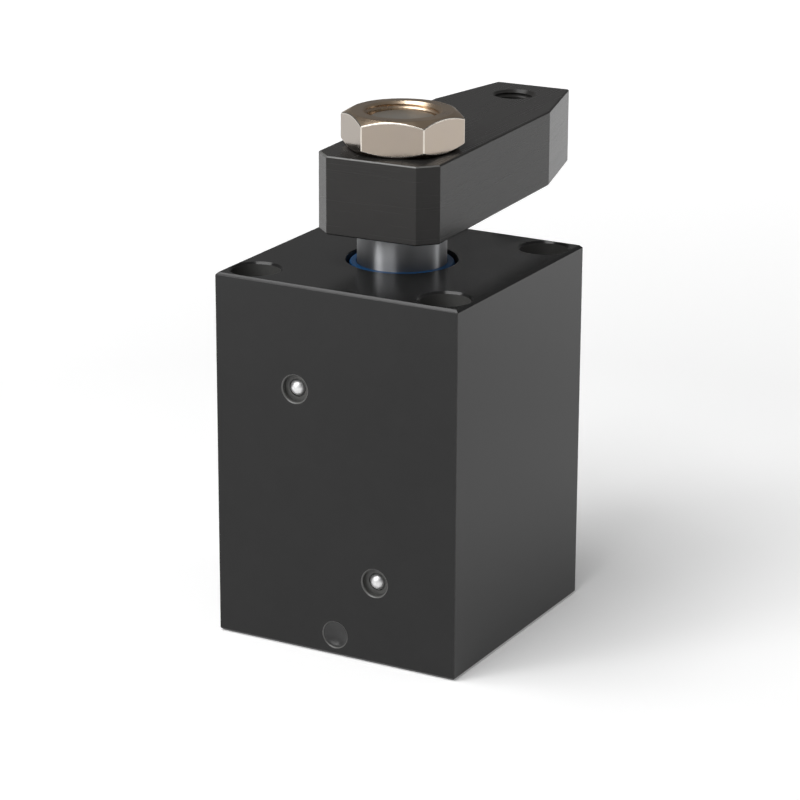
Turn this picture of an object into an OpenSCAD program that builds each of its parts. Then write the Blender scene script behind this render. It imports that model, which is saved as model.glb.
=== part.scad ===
// Block swing clamp cylinder, drawn clamped: rod down, arm out over the work.
// Millimetres, +Z up. The origin is the centre of the base face.
// The face with the plugged drillings looks towards -Y, the arm points to +Y.

/* [Cylinder and stroke] */
// Bore of the cylinder
bore_d = 40; // [36:1:60]
// Diameter of the piston rod
rod_d = 20; // [18:1:26]
// Straight travel that presses the arm down on the work
clamp_stroke = 10; // [6:1:20]
// Travel during which the arm swings
swing_stroke = 12; // [8:1:20]
// Angle that the arm swings through
swing_angle = 90; // [45:15:90]
// Free travel left above the piston at the top of its stroke
top_gap = 2; // [1:0.5:6]
// Oil film under the piston when it is down
bottom_gap = 1; // [0.5:0.5:4]

/* [Block] */
// Wall between the bore and each side of the block
block_wall = 10; // [9:0.5:20]
// Head above the pressure chamber, which holds the bush, seal and wiper
head_h = 21.2; // [19:0.1:40]
// Bevel on the block's top and bottom edges
block_bevel = 0.6; // [0.2:0.1:1.5]

/* [Mounting holes] */
// Screw centre to the block's side faces
bolt_edge = 6.5; // [6.5:0.5:8]
// Clearance hole of a mounting screw
bolt_hole_d = 6.6; // [4.5:0.1:8]
// Counterbore of the screw head
bolt_head_d = 11; // [9.5:0.5:12]
// Depth of the counterbore
bolt_head_depth = 7; // [4:0.5:20]
// Bevel at the counterbore's mouth
bolt_mouth_bevel = 0.5; // [0.2:0.1:0.8]

/* [End cap] */
// Step between the bore and the wider seat of the end cap
cap_step = 1.5; // [1:0.25:2]
// Gap between the base face and the cap's underside
cap_inset = 0.3; // [0.1:0.1:1]
// Height of the guide boss above the cap's seat
boss_h = 7.3; // [6:0.1:12]
// Wall of the boss around the spring chamber
boss_wall = 1.8; // [1.2:0.2:3]
// Length of the keyed guide in the boss
neck_h = 5.3; // [3:0.1:8]
// Thickness of the spring plug
plug_t = 2.9; // [2:0.1:4]
// Hexagon key of the spring plug, across flats
plug_key_af = 4; // [3:0.5:5]
// Depth of the plug's key socket
plug_key_depth = 1.5; // [1:0.1:1.8]
// Pin spanner holes in the cap
spanner_d = 3; // [2:0.5:4]
// Depth of the spanner holes
spanner_depth = 4; // [2:0.5:6]
// Distance of the spanner holes from the axis
spanner_r = 15; // [13:0.5:17]
// Height of the pin that locks the cap
lock_z = 4.9; // [4:0.1:6]
// Diameter of the lock pin
lock_d = 6; // [4:1:7]
// How far the lock pin stays below the front face
lock_drop = 0.3; // [0.2:0.1:4]
// Depth of the dish in the lock pin's outer end
lock_dish = 0.75; // [0.3:0.05:1.2]
// Depth of the lock pin's seat in the cap
lock_bite = 1; // [0.5:0.1:2]
// Bevel at the mouth of the lock pin's hole
lock_mouth_bevel = 0.35; // [0.1:0.05:0.6]

/* [Ports and drillings] */
// Distance of each oil port from the centre plane
port_x = 10; // [8:0.5:14]
// Drilled oil ways
oilway_d = 4; // [3:0.25:4.5]
// O-ring seat around a port in the base
port_seat_d = 8; // [7:0.25:9]
// Depth of the O-ring seat
port_seat_depth = 1.6; // [1.2:0.1:2.5]
// Wall between a port seat and the cap
port_wall = 1; // [0.6:0.1:2]
// Upper drilling: gap below the chamber's ceiling
upper_drill_drop = 0.5; // [0.2:0.1:2]
// Lower drilling: gap above the cap's top face
lower_drill_rise = 2.5; // [0.5:0.25:3]
// Step from a cross drilling out to the counterbore in front of its ball
ball_seat_step = 1.1; // [0.6:0.1:2]
// Depth of that counterbore
ball_seat_depth = 1.25; // [1:0.25:3]
// Bevel at the counterbore's mouth
ball_mouth_bevel = 0.25; // [0.1:0.05:0.5]
// Depth of a plug ball's centre below the front face
plug_ball_depth = 2.2; // [2:0.1:4]

/* [Cam spindle] */
// Step from the rod down to its tail inside the piston
tail_step = 1; // [0.5:0.1:2]
// Wall of the hollow tail that holds the guide balls
tail_wall = 2.7; // [2.2:0.1:3]
// Guide ball
guide_ball_d = 5; // [4.5:0.25:5.5]
// Depth of the two flats on the spindle's shank
flat_depth = 1.5; // [1:0.1:2]
// Wall left between the flats and the spring chamber
spindle_wall = 1.1; // [0.8:0.1:1.5]
// Length of the shank below its retaining ring
shank_tip = 1.2; // [0.8:0.1:3]
// Wire of the spindle spring
spring_wire = 0.9; // [0.5:0.1:1.1]
// Turns of the spindle spring
spring_turns = 11; // [6:1:14]

/* [Retaining rings] */
// Thickness of a retaining ring
ring_t = 1.2; // [0.8:0.1:2]
// Depth of a ring's groove in its shaft
ring_bite = 0.8; // [0.5:0.1:1]
// How far a ring stands above its shaft
ring_stand = 1.3; // [0.8:0.1:2]
// Gap between the ends of a ring, as an angle
ring_open = 30; // [15:5:60]

/* [Piston] */
// Plain land outside each ring groove
land_h = 1; // [0.8:0.1:3]
// Plain land between the two ring grooves
mid_land_h = 2; // [1:0.1:4]
// Width of the wear ring's groove
wear_h = 5; // [3:0.5:8]
// Depth of the wear ring's groove
wear_t = 2; // [1.5:0.1:2.5]
// Width of the seal ring's groove
seal_h = 4; // [3:0.1:6]
// Depth of the seal ring's groove
seal_depth = 3.4; // [3:0.1:4]
// Thickness of the hard ring in the seal groove
seal_ring_t = 1.4; // [1:0.1:1.8]
// Cut back at both ends so that the oil ways stay open
piston_relief = 1.4; // [0.8:0.1:2]

/* [Rod seals] */
// Wall of the bronze bush
bush_wall = 2; // [1.5:0.1:3]
// Depth of the rod seal's groove
rod_seal_depth = 3.5; // [3:0.1:4.5]
// Height of the rod seal's groove
rod_seal_h = 6; // [4:0.1:7]
// Depth of the wiper's groove
wiper_depth = 4.3; // [3.5:0.1:5]
// Height of the wiper's groove
wiper_h = 3; // [2.5:0.1:4]
// Opening in the top face around the rod
wiper_open = 2.5; // [2:0.1:3]
// Metal left above the wiper's groove
wiper_cover = 2.2; // [1.8:0.1:3]
// Width of the wiper lip
lip_w = 1.6; // [1:0.1:1.6]
// How far the lip stays below the top face
lip_drop = 0.4; // [0.2:0.1:0.8]
// Lands between the bush, the seal and the wiper
seal_land = 1.25; // [0.8:0.05:2]

/* [Clamp arm] */
// Gap between the block's top face and the arm when clamped
arm_gap = 7.7; // [4:0.1:20]
// Width of the arm
arm_w = 29.5; // [26:0.5:45]
// Thickness of the arm
arm_t = 17.6; // [12:0.1:25]
// Reach from the rod's axis to the arm's tip
arm_reach = 70; // [50:1:120]
// Distance from the rod's axis to the arm's near end
arm_back = 15.3; // [12:0.1:25]
// Corner cut at the near end
arm_corner = 3.9; // [1:0.1:6]
// Width of the arm's tip
tip_w = 18.5; // [14:0.5:26]
// Length of the taper that leads to the tip
tip_taper = 23.5; // [10:0.5:30]
// Tapped hole for the contact bolt, at its wall
tip_hole_d = 8.5; // [5:0.1:10.5]
// Distance of the tapped hole from the tip
tip_hole_inset = 10.8; // [8:0.1:15]
// Bevel at both mouths of the tapped hole
tip_hole_bevel = 0.9; // [0.3:0.1:1.2]
// Small bevel all round the arm's faces
arm_bevel = 0.3; // [0.2:0.1:1]
// Turn of the arm from the block's centre plane, as set at assembly
arm_turn = 2.5; // [-15:0.5:15]

/* [Arm nut] */
// Shoulder of the rod that the arm sits on
arm_shoulder = 1.5; // [1:0.25:2]
// Step from the arm's spigot down to the thread
thread_step = 0.5; // [0.25:0.25:1]
// Wall of the nut at its flats
nut_wall = 4; // [3:0.25:6]
// Height of the nut
nut_h = 8.3; // [5:0.1:16]
// How far the rod end stays below the nut's top
rod_end_drop = 1.6; // [0:0.1:4]
// Turn of the nut's corners from +X
nut_turn = 18.4; // [0:0.1:60]
// Key pin between rod and arm
key_d = 3; // [2:0.5:4]
// Length of the key pin
key_len = 10; // [5:1:11]

/* [Clearances] */
// Sliding fit of rod and piston
run_clear = 0.05; // [0.02:0.01:0.1]
// Fit of pieces that are pressed or screwed together
seat_clear = 0.03; // [0.01:0.01:0.1]
// Room around pieces that pass each other
pass_clear = 0.3; // [0.2:0.05:0.5]
// Room around a guide ball in its groove
groove_clear = 0.2; // [0.15:0.05:0.4]

/* [Hidden] */
$fn = 96;
overcut = 1;            // length by which a cut runs past the face it opens
torus_fn = 48;          // fineness of O-ring sections
groove_steps = 18;      // stretches along a cam track
groove_arc = 22.5;      // angle between points of a cam track's section
spring_steps = 15;      // stretches in one turn of the spring
wire_arc = 45;          // angle between points of the spring wire's section

// Radii, from the axis outwards
rod_r = rod_d / 2;
bore_r = bore_d / 2;
cap_r = bore_r + cap_step;
block_w = bore_d + 2 * block_wall;
block_half = block_w / 2;
tail_r = rod_r - tail_step;
spindle_r = tail_r - tail_wall - pass_clear;
flat_r = spindle_r - flat_depth;
spring_bore_r = flat_r - spindle_wall;
spring_r = spring_bore_r - pass_clear - spring_wire / 2;
ring_r = spindle_r + ring_stand;
chamber_r = ring_r + pass_clear;
boss_r = chamber_r + boss_wall;
piston_r = bore_r - run_clear;
tail_ring_r = tail_r + ring_stand;
recess_r = max(boss_r, tail_ring_r) + 2 * pass_clear;
ball_pitch_r = tail_r - guide_ball_d / 2;
groove_r = guide_ball_d / 2 + groove_clear;

// Heights of the end cap and the spindle, from the base upwards
plug_z = cap_inset;
plug_top = plug_z + plug_t;
shank_z = plug_top + 2 * pass_clear;
spindle_ring_z = shank_z + shank_tip;
chamber_top = spindle_ring_z + ring_t + clamp_stroke + pass_clear;
neck_top = chamber_top + neck_h;
cap_top = neck_top - boss_h;
shoulder_z = neck_top + pass_clear;

// Heights of the piston, at the bottom of its stroke
skirt_h = oilway_d + lower_drill_rise;
nose_h = oilway_d;
piston_z = cap_top + bottom_gap;
wear_z = piston_z + skirt_h + land_h;
seal_z = wear_z + wear_h + mid_land_h;
piston_top = seal_z + seal_h + land_h + nose_h;
tail_z = neck_top + 2 * pass_clear;
tail_lip = 1.5;         // tail left below its retaining ring
tail_ring_z = tail_z + tail_lip;
web_z = tail_ring_z + ring_t;
ball_web = 2;           // web between the retaining ring and the guide ball
ball_z = web_z + ball_web + guide_ball_d / 2;
groove_tip = 1.5;       // spindle left above the groove
spindle_top = ball_z + swing_stroke + groove_r + groove_tip;
groove_root = 2.5;      // spindle left between the groove and the spring
spring_top = ball_z - groove_r - groove_root;
rod_bore_top = spindle_top + 2 * pass_clear;
tail_o_wire = 1.5;      // section of the O-ring between tail and piston
tail_o_z = piston_top - tail_o_wire - land_h;

// Heights of the head and of what stands above the block
head_z = piston_top + clamp_stroke + swing_stroke + top_gap;
block_h = head_z + head_h;
wiper_top = block_h - wiper_cover;
wiper_z = wiper_top - wiper_h;
rod_seal_top = wiper_z - seal_land;
rod_seal_z = rod_seal_top - rod_seal_h;
bush_top = rod_seal_z - seal_land;
arm_z = block_h + arm_gap;
arm_top = arm_z + arm_t;
nut_top = arm_top + nut_h;

// Rod end
spigot_r = rod_r - arm_shoulder;
thread_r = spigot_r - thread_step;
nut_af = 2 * (thread_r + nut_wall);
nut_corner_r = nut_af / sqrt(3);
nut_face = 0.95;        // bevel circle of a plain nut, as a share of its flats
nut_bevel_angle = 30;
nut_bevel_r = nut_face * nut_af / 2;
nut_mouth = 0.8;        // countersink at the nut's thread
rod_end_bevel = 1;

// Oil ways
oilway_r = oilway_d / 2;
port_y = -sqrt(pow(cap_r + port_wall + port_seat_d / 2, 2) - pow(port_x, 2));
upper_drill_z = head_z - upper_drill_drop - oilway_r;
lower_drill_z = cap_top + lower_drill_rise + oilway_r;
drill_end_y = -sqrt(pow(bore_r, 2) - pow(port_x + oilway_r, 2));
plug_ball_y = -block_half + plug_ball_depth;

// Lock pin
lock_land = 0.25;       // flat rim around the dish in its end

// O-rings of the cap and the ports
cap_o_wire = 1.7;
cap_o_room = 0.6;       // groove width beyond the wire
cap_o_drop = 3.5;       // O-ring groove below the cap's top face
cap_o_z = cap_top - cap_o_drop;
port_o_wire = port_seat_depth - 2 * run_clear;

steel_black = "#3b3a39";
steel_bright = "#c9c8c4";
chrome = "#d9dadb";
nickel = "#b3a596";
bronze = "#a9793f";
rubber = "#1d1d1e";
seal_blue = "#2a5f96";
seal_white = "#d8d4c8";

// A ring of plain rectangular section
module band(r_in, r_out, z, h) {
    translate([0, 0, z]) difference() {
        cylinder(r = r_out, h = h);
        translate([0, 0, -overcut]) cylinder(r = r_in, h = h + 2 * overcut);
    }
}

// A round-section ring, centred on height z
module o_ring(r, wire, z) {
    translate([0, 0, z]) rotate_extrude()
        translate([r, 0]) circle(d = wire, $fn = torus_fn);
}

// A snap ring, open towards angle a
module snap_ring(shaft_r, z, a) {
    outer_r = shaft_r + ring_stand;
    difference() {
        band(shaft_r - ring_bite + seat_clear, outer_r, z, ring_t);
        translate([0, 0, z - overcut]) linear_extrude(ring_t + 2 * overcut)
            polygon([[0, 0], for (s = [-1, 1]) 2 * outer_r * [cos(a + s * ring_open / 2),
                sin(a + s * ring_open / 2)]]);
    }
}

// A straight hole along +Y that starts at the front face, with a bevelled mouth
module front_hole(x, z, d, depth, bevel) {
    translate([x, -block_half, z]) rotate([-90, 0, 0]) {
        translate([0, 0, -overcut]) cylinder(d = d, h = depth + overcut);
        cylinder(d1 = d + 2 * bevel, d2 = d, h = bevel);
    }
}

// Solid skin over a list of closed rings of points, with flat ends
module sweep(rings) {
    n = len(rings[0]);
    last = (len(rings) - 1) * n;
    sides = [for (i = [0:len(rings) - 2], j = [0:n - 1])
        let (k = (j + 1) % n, a = i * n, b = a + n)
            each [[a + j, a + k, b + k], [a + j, b + k, b + j]]];
    ends = [[for (j = [n - 1:-1:0]) j], [for (j = [0:n - 1]) last + j]];
    polyhedron(points = [for (r = rings) each r], faces = concat(sides, ends));
}

// Block: turned bore, screw holes and oil ways in a square bar
module housing_block() {
    color(steel_black) difference() {
        translate([-block_half, -block_half, 0]) cube([block_w, block_w, block_h]);
        for (a = [0:90:270], z = [0, block_h])
            rotate(a) translate([block_half, 0, z]) rotate([0, 45, 0])
                cube([block_bevel * sqrt(2), block_w + 2 * overcut, block_bevel * sqrt(2)],
                    center = true);
        rotate_extrude() polygon([
            [0, -overcut], [cap_r, -overcut], [cap_r, cap_top], [bore_r, cap_top], [bore_r, head_z],
            [rod_r + bush_wall, head_z], [rod_r + bush_wall, bush_top],
            [rod_r + pass_clear, bush_top], [rod_r + pass_clear, rod_seal_z],
            [rod_r + rod_seal_depth, rod_seal_z], [rod_r + rod_seal_depth, rod_seal_top],
            [rod_r + pass_clear, rod_seal_top], [rod_r + pass_clear, wiper_z],
            [rod_r + wiper_depth, wiper_z], [rod_r + wiper_depth, wiper_top],
            [rod_r + wiper_open, wiper_top], [rod_r + wiper_open, block_h + overcut],
            [0, block_h + overcut]]);
        for (x = [-1, 1], y = [-1, 1])
            translate([x * (block_half - bolt_edge), y * (block_half - bolt_edge), 0]) mounting_hole();
        port(-port_x, upper_drill_z);
        port(port_x, lower_drill_z);
        front_hole(0, lock_z, lock_d, block_half - cap_r + overcut, lock_mouth_bevel);
    }
}

// Stepped hole for one mounting screw
module mounting_hole() {
    translate([0, 0, -overcut]) cylinder(d = bolt_hole_d, h = block_h + 2 * overcut);
    translate([0, 0, block_h - bolt_head_depth]) cylinder(d = bolt_head_d, h = bolt_head_depth + overcut);
    translate([0, 0, block_h - bolt_mouth_bevel])
        cylinder(d1 = bolt_head_d, d2 = bolt_head_d + 2 * bolt_mouth_bevel, h = bolt_mouth_bevel);
}

// Oil way from a port in the base up to a cross drilling at height z
module port(x, z) {
    seat_d = oilway_d + 2 * ball_seat_step;
    translate([x, port_y, -overcut]) cylinder(d = oilway_d, h = z + overcut);
    translate([x, port_y, -overcut]) cylinder(d = port_seat_d, h = port_seat_depth + overcut);
    front_hole(x, z, oilway_d, block_half + drill_end_y, ball_mouth_bevel);
    front_hole(x, z, seat_d, ball_seat_depth, ball_mouth_bevel);
}

// End cap with its guide boss, spring chamber and keyed neck
module end_cap() {
    groove_h = cap_o_wire + cap_o_room;
    color(steel_bright) difference() {
        union() {
            translate([0, 0, cap_inset]) cylinder(r = cap_r - seat_clear, h = cap_top - cap_inset);
            cylinder(r = boss_r, h = neck_top);
        }
        translate([0, 0, -overcut]) cylinder(r = cap_r, h = cap_inset + overcut);
        translate([0, 0, -overcut]) cylinder(r = chamber_r, h = chamber_top + overcut);
        translate([0, 0, chamber_top]) double_d(spindle_r + run_clear, flat_r + run_clear, neck_h + overcut);
        band(cap_r - cap_o_wire - run_clear, cap_r + overcut, cap_o_z - groove_h / 2, groove_h);
        front_hole(0, lock_z, lock_d, block_half - cap_r + lock_bite, 0);
        for (x = [-1, 1])
            translate([x * spanner_r, 0, cap_inset - overcut])
                cylinder(d = spanner_d, h = spanner_depth + overcut);
    }
}

// Round bar with two flats, standing on z = 0
module double_d(r, flat, h) {
    intersection() {
        cylinder(r = r, h = h);
        translate([-flat, -2 * r, 0]) cube([2 * flat, 4 * r, h]);
    }
}

module end_cap_o_ring() {
    color(rubber) o_ring(cap_r - cap_o_wire / 2, cap_o_wire - run_clear, cap_o_z);
}

// Pin that keeps the cap from turning under the swing load
module cap_lock_pin() {
    tip_y = -cap_r + lock_bite - pass_clear;
    pin_len = block_half - lock_drop + tip_y;
    dish_r = (pow(lock_d / 2 - lock_land, 2) + pow(lock_dish, 2)) / (2 * lock_dish);
    color(steel_black) translate([0, tip_y, lock_z]) rotate([90, 0, 0]) difference() {
        cylinder(d = lock_d - 2 * seat_clear, h = pin_len);
        translate([0, 0, pin_len + dish_r - lock_dish]) sphere(r = dish_r);
    }
}

// Screwed plug under the spindle spring, with a hexagon key socket
module spring_plug() {
    color(steel_bright) difference() {
        translate([0, 0, plug_z]) cylinder(r = chamber_r - seat_clear, h = plug_t);
        translate([0, 0, plug_z - overcut])
            cylinder(d = plug_key_af * 2 / sqrt(3), h = plug_key_depth + overcut, $fn = 6);
    }
}

// One ring of the spring wire at t turns
function wire_ring(t, z0, z1) =
    let (a = 360 * t, z = z0 + (z1 - z0) * t / spring_turns)
        [for (s = [0:wire_arc:359]) let (r = spring_r + spring_wire / 2 * cos(s))
            [r * cos(a), r * sin(a), z + spring_wire / 2 * sin(s)]];

module spindle_spring() {
    inset = spring_wire / 2 + run_clear;
    color(steel_bright) sweep([for (i = [0:spring_turns * spring_steps])
        wire_ring(i / spring_steps, plug_top + inset, spring_top - inset)]);
}

module rod_bush() {
    color(bronze) band(rod_r + run_clear, rod_r + bush_wall - seat_clear, head_z, bush_top - head_z);
}

// Lip seal, open towards the pressure below it
module rod_seal() {
    r_in = rod_r + run_clear;
    r_out = rod_r + rod_seal_depth - seat_clear;
    r_mid = (r_in + r_out) / 2;
    slot = (r_out - r_in) / 5;
    z = rod_seal_z + seat_clear;
    color(seal_white) rotate_extrude() polygon([
        [r_in, z], [r_mid - slot, z], [r_mid, z + rod_seal_h / 2], [r_mid + slot, z],
        [r_out, z], [r_out, rod_seal_top - seat_clear], [r_in, rod_seal_top - seat_clear]]);
}

// Wiper: a foot snapped into its groove and a lip that runs up to the top face
module rod_wiper() {
    r_in = rod_r + run_clear;
    r_out = rod_r + wiper_depth - seat_clear;
    foot_top = wiper_top - seat_clear;
    lip_top = block_h - lip_drop;
    lip_round = lip_w / 4;
    color(seal_blue) rotate_extrude() polygon([
        [r_in + lip_round, wiper_z + seat_clear], [r_out, wiper_z + seat_clear], [r_out, foot_top],
        [r_in + lip_w + lip_round, foot_top], [r_in + lip_w, lip_top - lip_round],
        [r_in + lip_w - lip_round, lip_top], [r_in + lip_round, lip_top],
        [r_in, lip_top - lip_round], [r_in, foot_top]]);
}

// Steel ball pressed into the mouth of a cross drilling
module plug_ball(x, z) {
    color(steel_bright) translate([x, plug_ball_y, z]) sphere(d = oilway_d - 2 * seat_clear);
}

module upper_plug_ball() plug_ball(-port_x, upper_drill_z);

module lower_plug_ball() plug_ball(port_x, lower_drill_z);

module port_o_ring(x) {
    color(rubber) translate([x, port_y, 0])
        o_ring((port_seat_d - port_o_wire) / 2 - run_clear, port_o_wire, port_seat_depth / 2);
}

module clamp_port_o_ring() port_o_ring(-port_x);

module unclamp_port_o_ring() port_o_ring(port_x);

// Section of a cam groove at turn a: a half round, open away from the axis
function groove_ring(a) =
    let (mid = [ball_pitch_r * cos(a), ball_pitch_r * sin(a), ball_z + swing_stroke * a / swing_angle],
        out = [cos(a), sin(a), 0],
        rise = swing_stroke / (swing_angle * PI / 180),
        run = [-ball_pitch_r * sin(a), ball_pitch_r * cos(a), rise],
        side = cross(out, run) / norm(run),
        arc_r = groove_r / cos(groove_arc / 2))
        [for (p = [[1, 1], for (t = [90:groove_arc:270]) [cos(t), sin(t)], [1, -1]])
            mid + arc_r * (p[0] * out + p[1] * side)];

// Helical track for one guide ball, with round ends
module cam_groove() {
    sweep([for (i = [0:groove_steps]) groove_ring(swing_angle * i / groove_steps)]);
    for (a = [0, swing_angle])
        rotate(a) translate([ball_pitch_r, 0, ball_z + swing_stroke * a / swing_angle]) sphere(r = groove_r);
}

// Keyed spindle: its two tracks turn the rod through the swing
module cam_spindle() {
    color(steel_bright) difference() {
        union() {
            translate([0, 0, shoulder_z]) cylinder(r = spindle_r, h = spindle_top - shoulder_z);
            translate([0, 0, shank_z]) double_d(spindle_r, flat_r, shoulder_z - shank_z);
        }
        translate([0, 0, shank_z - overcut]) cylinder(r = spring_bore_r, h = spring_top - shank_z + overcut);
        band(spindle_r - ring_bite, spindle_r + overcut,
            spindle_ring_z - seat_clear, ring_t + 2 * seat_clear);
        for (a = [0, 180]) rotate(a) cam_groove();
    }
}

module spindle_retaining_ring() {
    color(steel_bright) snap_ring(spindle_r, spindle_ring_z, 0);
}

// Hard ring that runs on the bore
module piston_seal_ring() {
    color(seal_white) band(piston_r - seal_ring_t, piston_r, seal_z + run_clear, seal_h - 2 * run_clear);
}

// Rubber ring that presses the hard ring outwards
module piston_energiser() {
    wire = seal_depth - seal_ring_t - pass_clear;
    color(rubber) o_ring(piston_r - seal_ring_t - wire / 2 - run_clear, wire, seal_z + seal_h / 2);
}

module piston_wear_ring() {
    color(bronze)
        band(piston_r - wear_t + 2 * run_clear, piston_r, wear_z + run_clear, wear_h - 2 * run_clear);
}

// Rod: hollow tail for the spindle, ground shaft, spigot for the arm and threaded end
module piston_rod() {
    end_z = nut_top - rod_end_drop;
    color(chrome) difference() {
        rotate_extrude() polygon([
            [tail_r - tail_wall, tail_z], [tail_r, tail_z], [tail_r, piston_top], [rod_r, piston_top],
            [rod_r, arm_z], [spigot_r, arm_z], [spigot_r, arm_top - rod_end_bevel],
            [thread_r, arm_top - rod_end_bevel], [thread_r, end_z - rod_end_bevel],
            [thread_r - rod_end_bevel, end_z], [0, end_z], [0, rod_bore_top],
            [tail_r - tail_wall, rod_bore_top]]);
        band(tail_r - ring_bite, tail_r + overcut, tail_ring_z - seat_clear, ring_t + 2 * seat_clear);
        translate([0, 0, ball_z]) rotate([0, 90, 0])
            cylinder(d = guide_ball_d + 2 * run_clear, h = 2 * rod_d, center = true);
        key_pin(seat_clear);
    }
}

// Piston: reduced at both ends, two ring grooves, recessed below for the boss
module piston() {
    bore = tail_r + seat_clear;
    slim_r = piston_r - piston_relief;
    land_r = piston_r - run_clear;
    color(steel_bright) rotate_extrude() polygon([
        [recess_r, piston_z], [slim_r, piston_z], [slim_r, piston_z + skirt_h],
        [land_r, piston_z + skirt_h], [land_r, wear_z], [piston_r - wear_t, wear_z],
        [piston_r - wear_t, wear_z + wear_h], [land_r, wear_z + wear_h], [land_r, seal_z],
        [piston_r - seal_depth, seal_z], [piston_r - seal_depth, seal_z + seal_h],
        [land_r, seal_z + seal_h], [land_r, piston_top - nose_h], [slim_r, piston_top - nose_h],
        [slim_r, piston_top], [bore, piston_top], [bore, tail_o_z + tail_o_wire / 2 + run_clear],
        [bore + tail_o_wire, tail_o_z + tail_o_wire / 2 + run_clear],
        [bore + tail_o_wire, tail_o_z - tail_o_wire / 2 - run_clear],
        [bore, tail_o_z - tail_o_wire / 2 - run_clear], [bore, web_z], [recess_r, web_z]]);
}

module piston_retaining_ring() {
    color(steel_bright) snap_ring(tail_r, tail_ring_z, 90);
}

module piston_o_ring() {
    wire = tail_o_wire - run_clear;
    color(rubber) o_ring(tail_r + seat_clear + tail_o_wire / 2, wire, tail_o_z);
}

// Two balls held in the tail's cross hole by the piston around them
module guide_balls() {
    color(steel_bright) for (x = [-1, 1])
        translate([x * ball_pitch_r, 0, ball_z]) sphere(d = guide_ball_d);
}

// Arm outline, pulled in by e on every side
function arm_outline(e) =
    let (w = arm_w / 2 - e, b = arm_back - e, c = arm_corner - e * (2 - sqrt(2)),
        s = arm_reach - tip_taper, t = arm_reach - e, tw = tip_w / 2 - e)
        [[-w, c - b], [c - w, -b], [w - c, -b], [w, c - b], [w, s], [tw, t], [-tw, t], [-w, s]];

// Clamp arm, a plain bar with cut corners and a tapered tip
module clamp_arm() {
    hole_y = arm_reach - tip_hole_inset;
    color(steel_black) difference() {
        rotate(arm_turn) difference() {
            hull() {
                translate([0, 0, arm_z]) linear_extrude(arm_t) polygon(arm_outline(arm_bevel));
                translate([0, 0, arm_z + arm_bevel]) linear_extrude(arm_t - 2 * arm_bevel)
                    polygon(arm_outline(0));
            }
            translate([0, 0, arm_z - overcut]) cylinder(r = spigot_r + seat_clear, h = arm_t + 2 * overcut);
            translate([0, hole_y, arm_z - overcut]) cylinder(d = tip_hole_d, h = arm_t + 2 * overcut);
            for (end = [0, 1])
                translate([0, hole_y, end * arm_t + arm_z]) mirror([0, 0, end])
                    cylinder(d1 = tip_hole_d + 2 * tip_hole_bevel, d2 = tip_hole_d, h = tip_hole_bevel);
        }
        key_pin(seat_clear);
    }
}

// Pin half in the rod and half in the arm, grown by g on every side
module key_pin(g) {
    rotate(arm_turn) translate([0, -spigot_r, arm_z + arm_t / 2 - key_len / 2 - g])
        cylinder(d = key_d + 2 * g, h = key_len + 2 * g);
}

module arm_key_pin() {
    color(steel_bright) key_pin(0);
}

// Thin hexagon nut, bevelled on both faces
module arm_nut() {
    hole_r = thread_r + seat_clear;
    drop = (nut_corner_r - nut_bevel_r) * tan(nut_bevel_angle);
    color(nickel) intersection() {
        rotate(nut_turn) translate([0, 0, arm_top]) cylinder(r = nut_corner_r, h = nut_h, $fn = 6);
        rotate_extrude() polygon([
            [hole_r + nut_mouth, arm_top], [nut_bevel_r, arm_top], [nut_corner_r, arm_top + drop],
            [nut_corner_r, nut_top - drop], [nut_bevel_r, nut_top], [hole_r + nut_mouth, nut_top],
            [hole_r, nut_top - nut_mouth], [hole_r, arm_top + nut_mouth]]);
    }
}

housing_block();
end_cap();
end_cap_o_ring();
cap_lock_pin();
spring_plug();
spindle_spring();
rod_bush();
rod_seal();
rod_wiper();
upper_plug_ball();
lower_plug_ball();
clamp_port_o_ring();
unclamp_port_o_ring();
cam_spindle();
spindle_retaining_ring();
piston_seal_ring();
piston_energiser();
piston_wear_ring();
piston_rod();
piston();
piston_retaining_ring();
piston_o_ring();
guide_balls();
clamp_arm();
arm_key_pin();
arm_nut();
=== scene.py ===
import math

import bpy
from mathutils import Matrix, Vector


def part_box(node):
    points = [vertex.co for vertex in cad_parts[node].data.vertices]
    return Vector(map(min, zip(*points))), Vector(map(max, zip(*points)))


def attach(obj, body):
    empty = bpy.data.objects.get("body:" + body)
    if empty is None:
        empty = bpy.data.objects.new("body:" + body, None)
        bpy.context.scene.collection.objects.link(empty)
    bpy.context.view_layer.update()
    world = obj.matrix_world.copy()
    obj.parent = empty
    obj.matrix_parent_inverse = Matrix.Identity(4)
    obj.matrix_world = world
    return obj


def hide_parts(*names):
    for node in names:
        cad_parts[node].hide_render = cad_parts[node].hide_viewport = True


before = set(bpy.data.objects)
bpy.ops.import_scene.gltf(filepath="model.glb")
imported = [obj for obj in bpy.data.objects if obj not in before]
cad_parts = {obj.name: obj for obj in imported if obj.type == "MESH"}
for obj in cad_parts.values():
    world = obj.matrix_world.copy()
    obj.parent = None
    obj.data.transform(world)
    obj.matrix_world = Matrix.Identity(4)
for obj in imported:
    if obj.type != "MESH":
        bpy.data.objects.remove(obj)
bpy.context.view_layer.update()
mm = 0.001
fullTurn = 2 * math.pi
weldGap = 0.001 * mm  # points nearer than this become one
pastFace = 1  # mm that a cutter reaches past the face it opens
seatGap = 0.03  # mm left round a piece in its seat
pickSlack = 0.05  # mm of play when faces are picked by their place
levelWithin = 0.01  # mm between the ends of an edge that counts as level
sharpAngle = 35  # degrees past which an edge is rounded or stays sharp
noiseLow, noiseHigh = 0.3, 0.7  # the span that a noise node mostly keeps to
print("frame loaded")


# small helpers used by every piece
def spanMm(node):
    low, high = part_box(node)
    return low / mm, high / mm


def soloSelect(piece=None):
    if bpy.context.mode != 'OBJECT':
        bpy.ops.object.mode_set(mode='OBJECT')
    bpy.ops.object.select_all(action='DESELECT')
    if piece:
        piece.select_set(True)
        bpy.context.view_layer.objects.active = piece


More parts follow.
